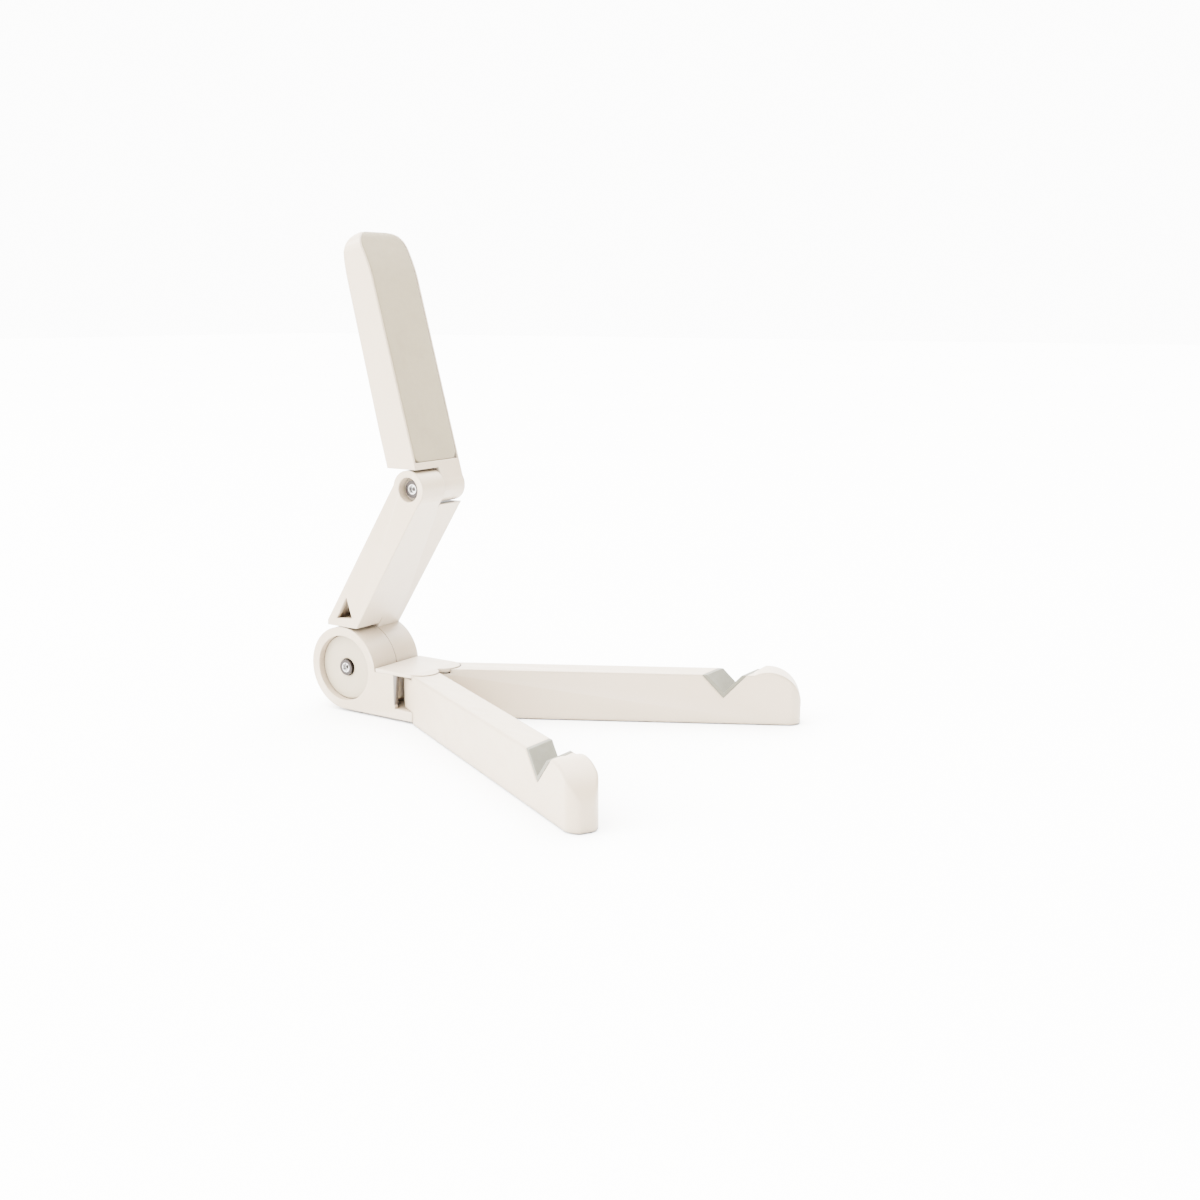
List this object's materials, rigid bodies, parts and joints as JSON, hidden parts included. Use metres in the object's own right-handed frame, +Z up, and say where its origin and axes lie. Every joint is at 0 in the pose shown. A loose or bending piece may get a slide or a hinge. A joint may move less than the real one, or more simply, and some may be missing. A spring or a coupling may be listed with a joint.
{
  "type": "folding tablet stand",
  "caption": "Folding tablet stand: two swivelling legs with lined V notches on a round hub, and a jointed two-part arm with a padded face that the tablet leans on.",
  "frame": {"origin": "on the supporting surface, straight below the hub's barrel axis, midway across the width, at the resting plane of the feet", "axes": "+X along the two hinge axes, +Z up, legs and tablet on the -Y side"},
  "size_m": [0.1484, 0.1692, 0.179],
  "materials": {
    "shell": "ivory moulded plastic, satin",
    "disc": "ivory moulded plastic, fine matt texture",
    "pad_rubber": "matt stone-coloured soft rubber",
    "foot_rubber": "matt pale soft rubber",
    "steel": "bright plated steel",
    "washer": "dark fibre-filled plastic"
  },
  "bodies": {
    "hub": {"hub_housing": "shell", "hub_top_plate": "shell", "hub_end_disc": "disc", "leg_pivot_pins": "steel", "leg_spring_washers": "steel", "hub_cover_screws": "steel", "hub_foot_pad": "foot_rubber"},
    "middle_arm": {"middle_arm_shell": "shell", "middle_arm_cover": "shell", "hub_pivot_screw": "steel", "hub_pivot_nut": "steel", "hub_far_disc": "disc", "hub_friction_washer": "washer"},
    "top_arm": {"top_arm_shell": "shell", "top_arm_front_plate": "shell", "top_pad": "pad_rubber", "elbow_screw": "steel", "elbow_nut": "steel", "elbow_friction_washer": "washer", "elbow_cap": "disc"},
    "left_leg": {"left_leg_shell": "shell", "left_leg_sole": "shell", "left_notch_liner": "pad_rubber", "left_foot_pad": "foot_rubber", "left_leg_screws": "steel"},
    "right_leg": {"right_leg_shell": "shell", "right_leg_sole": "shell", "right_notch_liner": "pad_rubber", "right_foot_pad": "foot_rubber", "right_leg_screws": "steel"}
  },
  "joints": [
    {"name": "arm_fold", "type": "hinge", "parent": "hub", "child": "middle_arm", "pos_m": [0, 0, 0.01704], "axis": [1, 0, 0], "range_deg": [-33, 56.8]},
    {"name": "elbow_fold", "type": "hinge", "parent": "middle_arm", "child": "top_arm", "pos_m": [0, -0.03482, 0.08791], "axis": [1, 0, 0], "range_deg": [-40, 48.2]},
    {"name": "left_leg_spread", "type": "hinge", "parent": "hub", "child": "left_leg", "pos_m": [-0.0063, -0.03392, 0.01], "axis": [0, 0, -1], "range_deg": [-28.7, 8]},
    {"name": "right_leg_spread", "type": "hinge", "parent": "hub", "child": "right_leg", "pos_m": [0.0063, -0.03392, 0.01], "axis": [0, 0, 1], "range_deg": [-28.7, 8]}
  ]
}
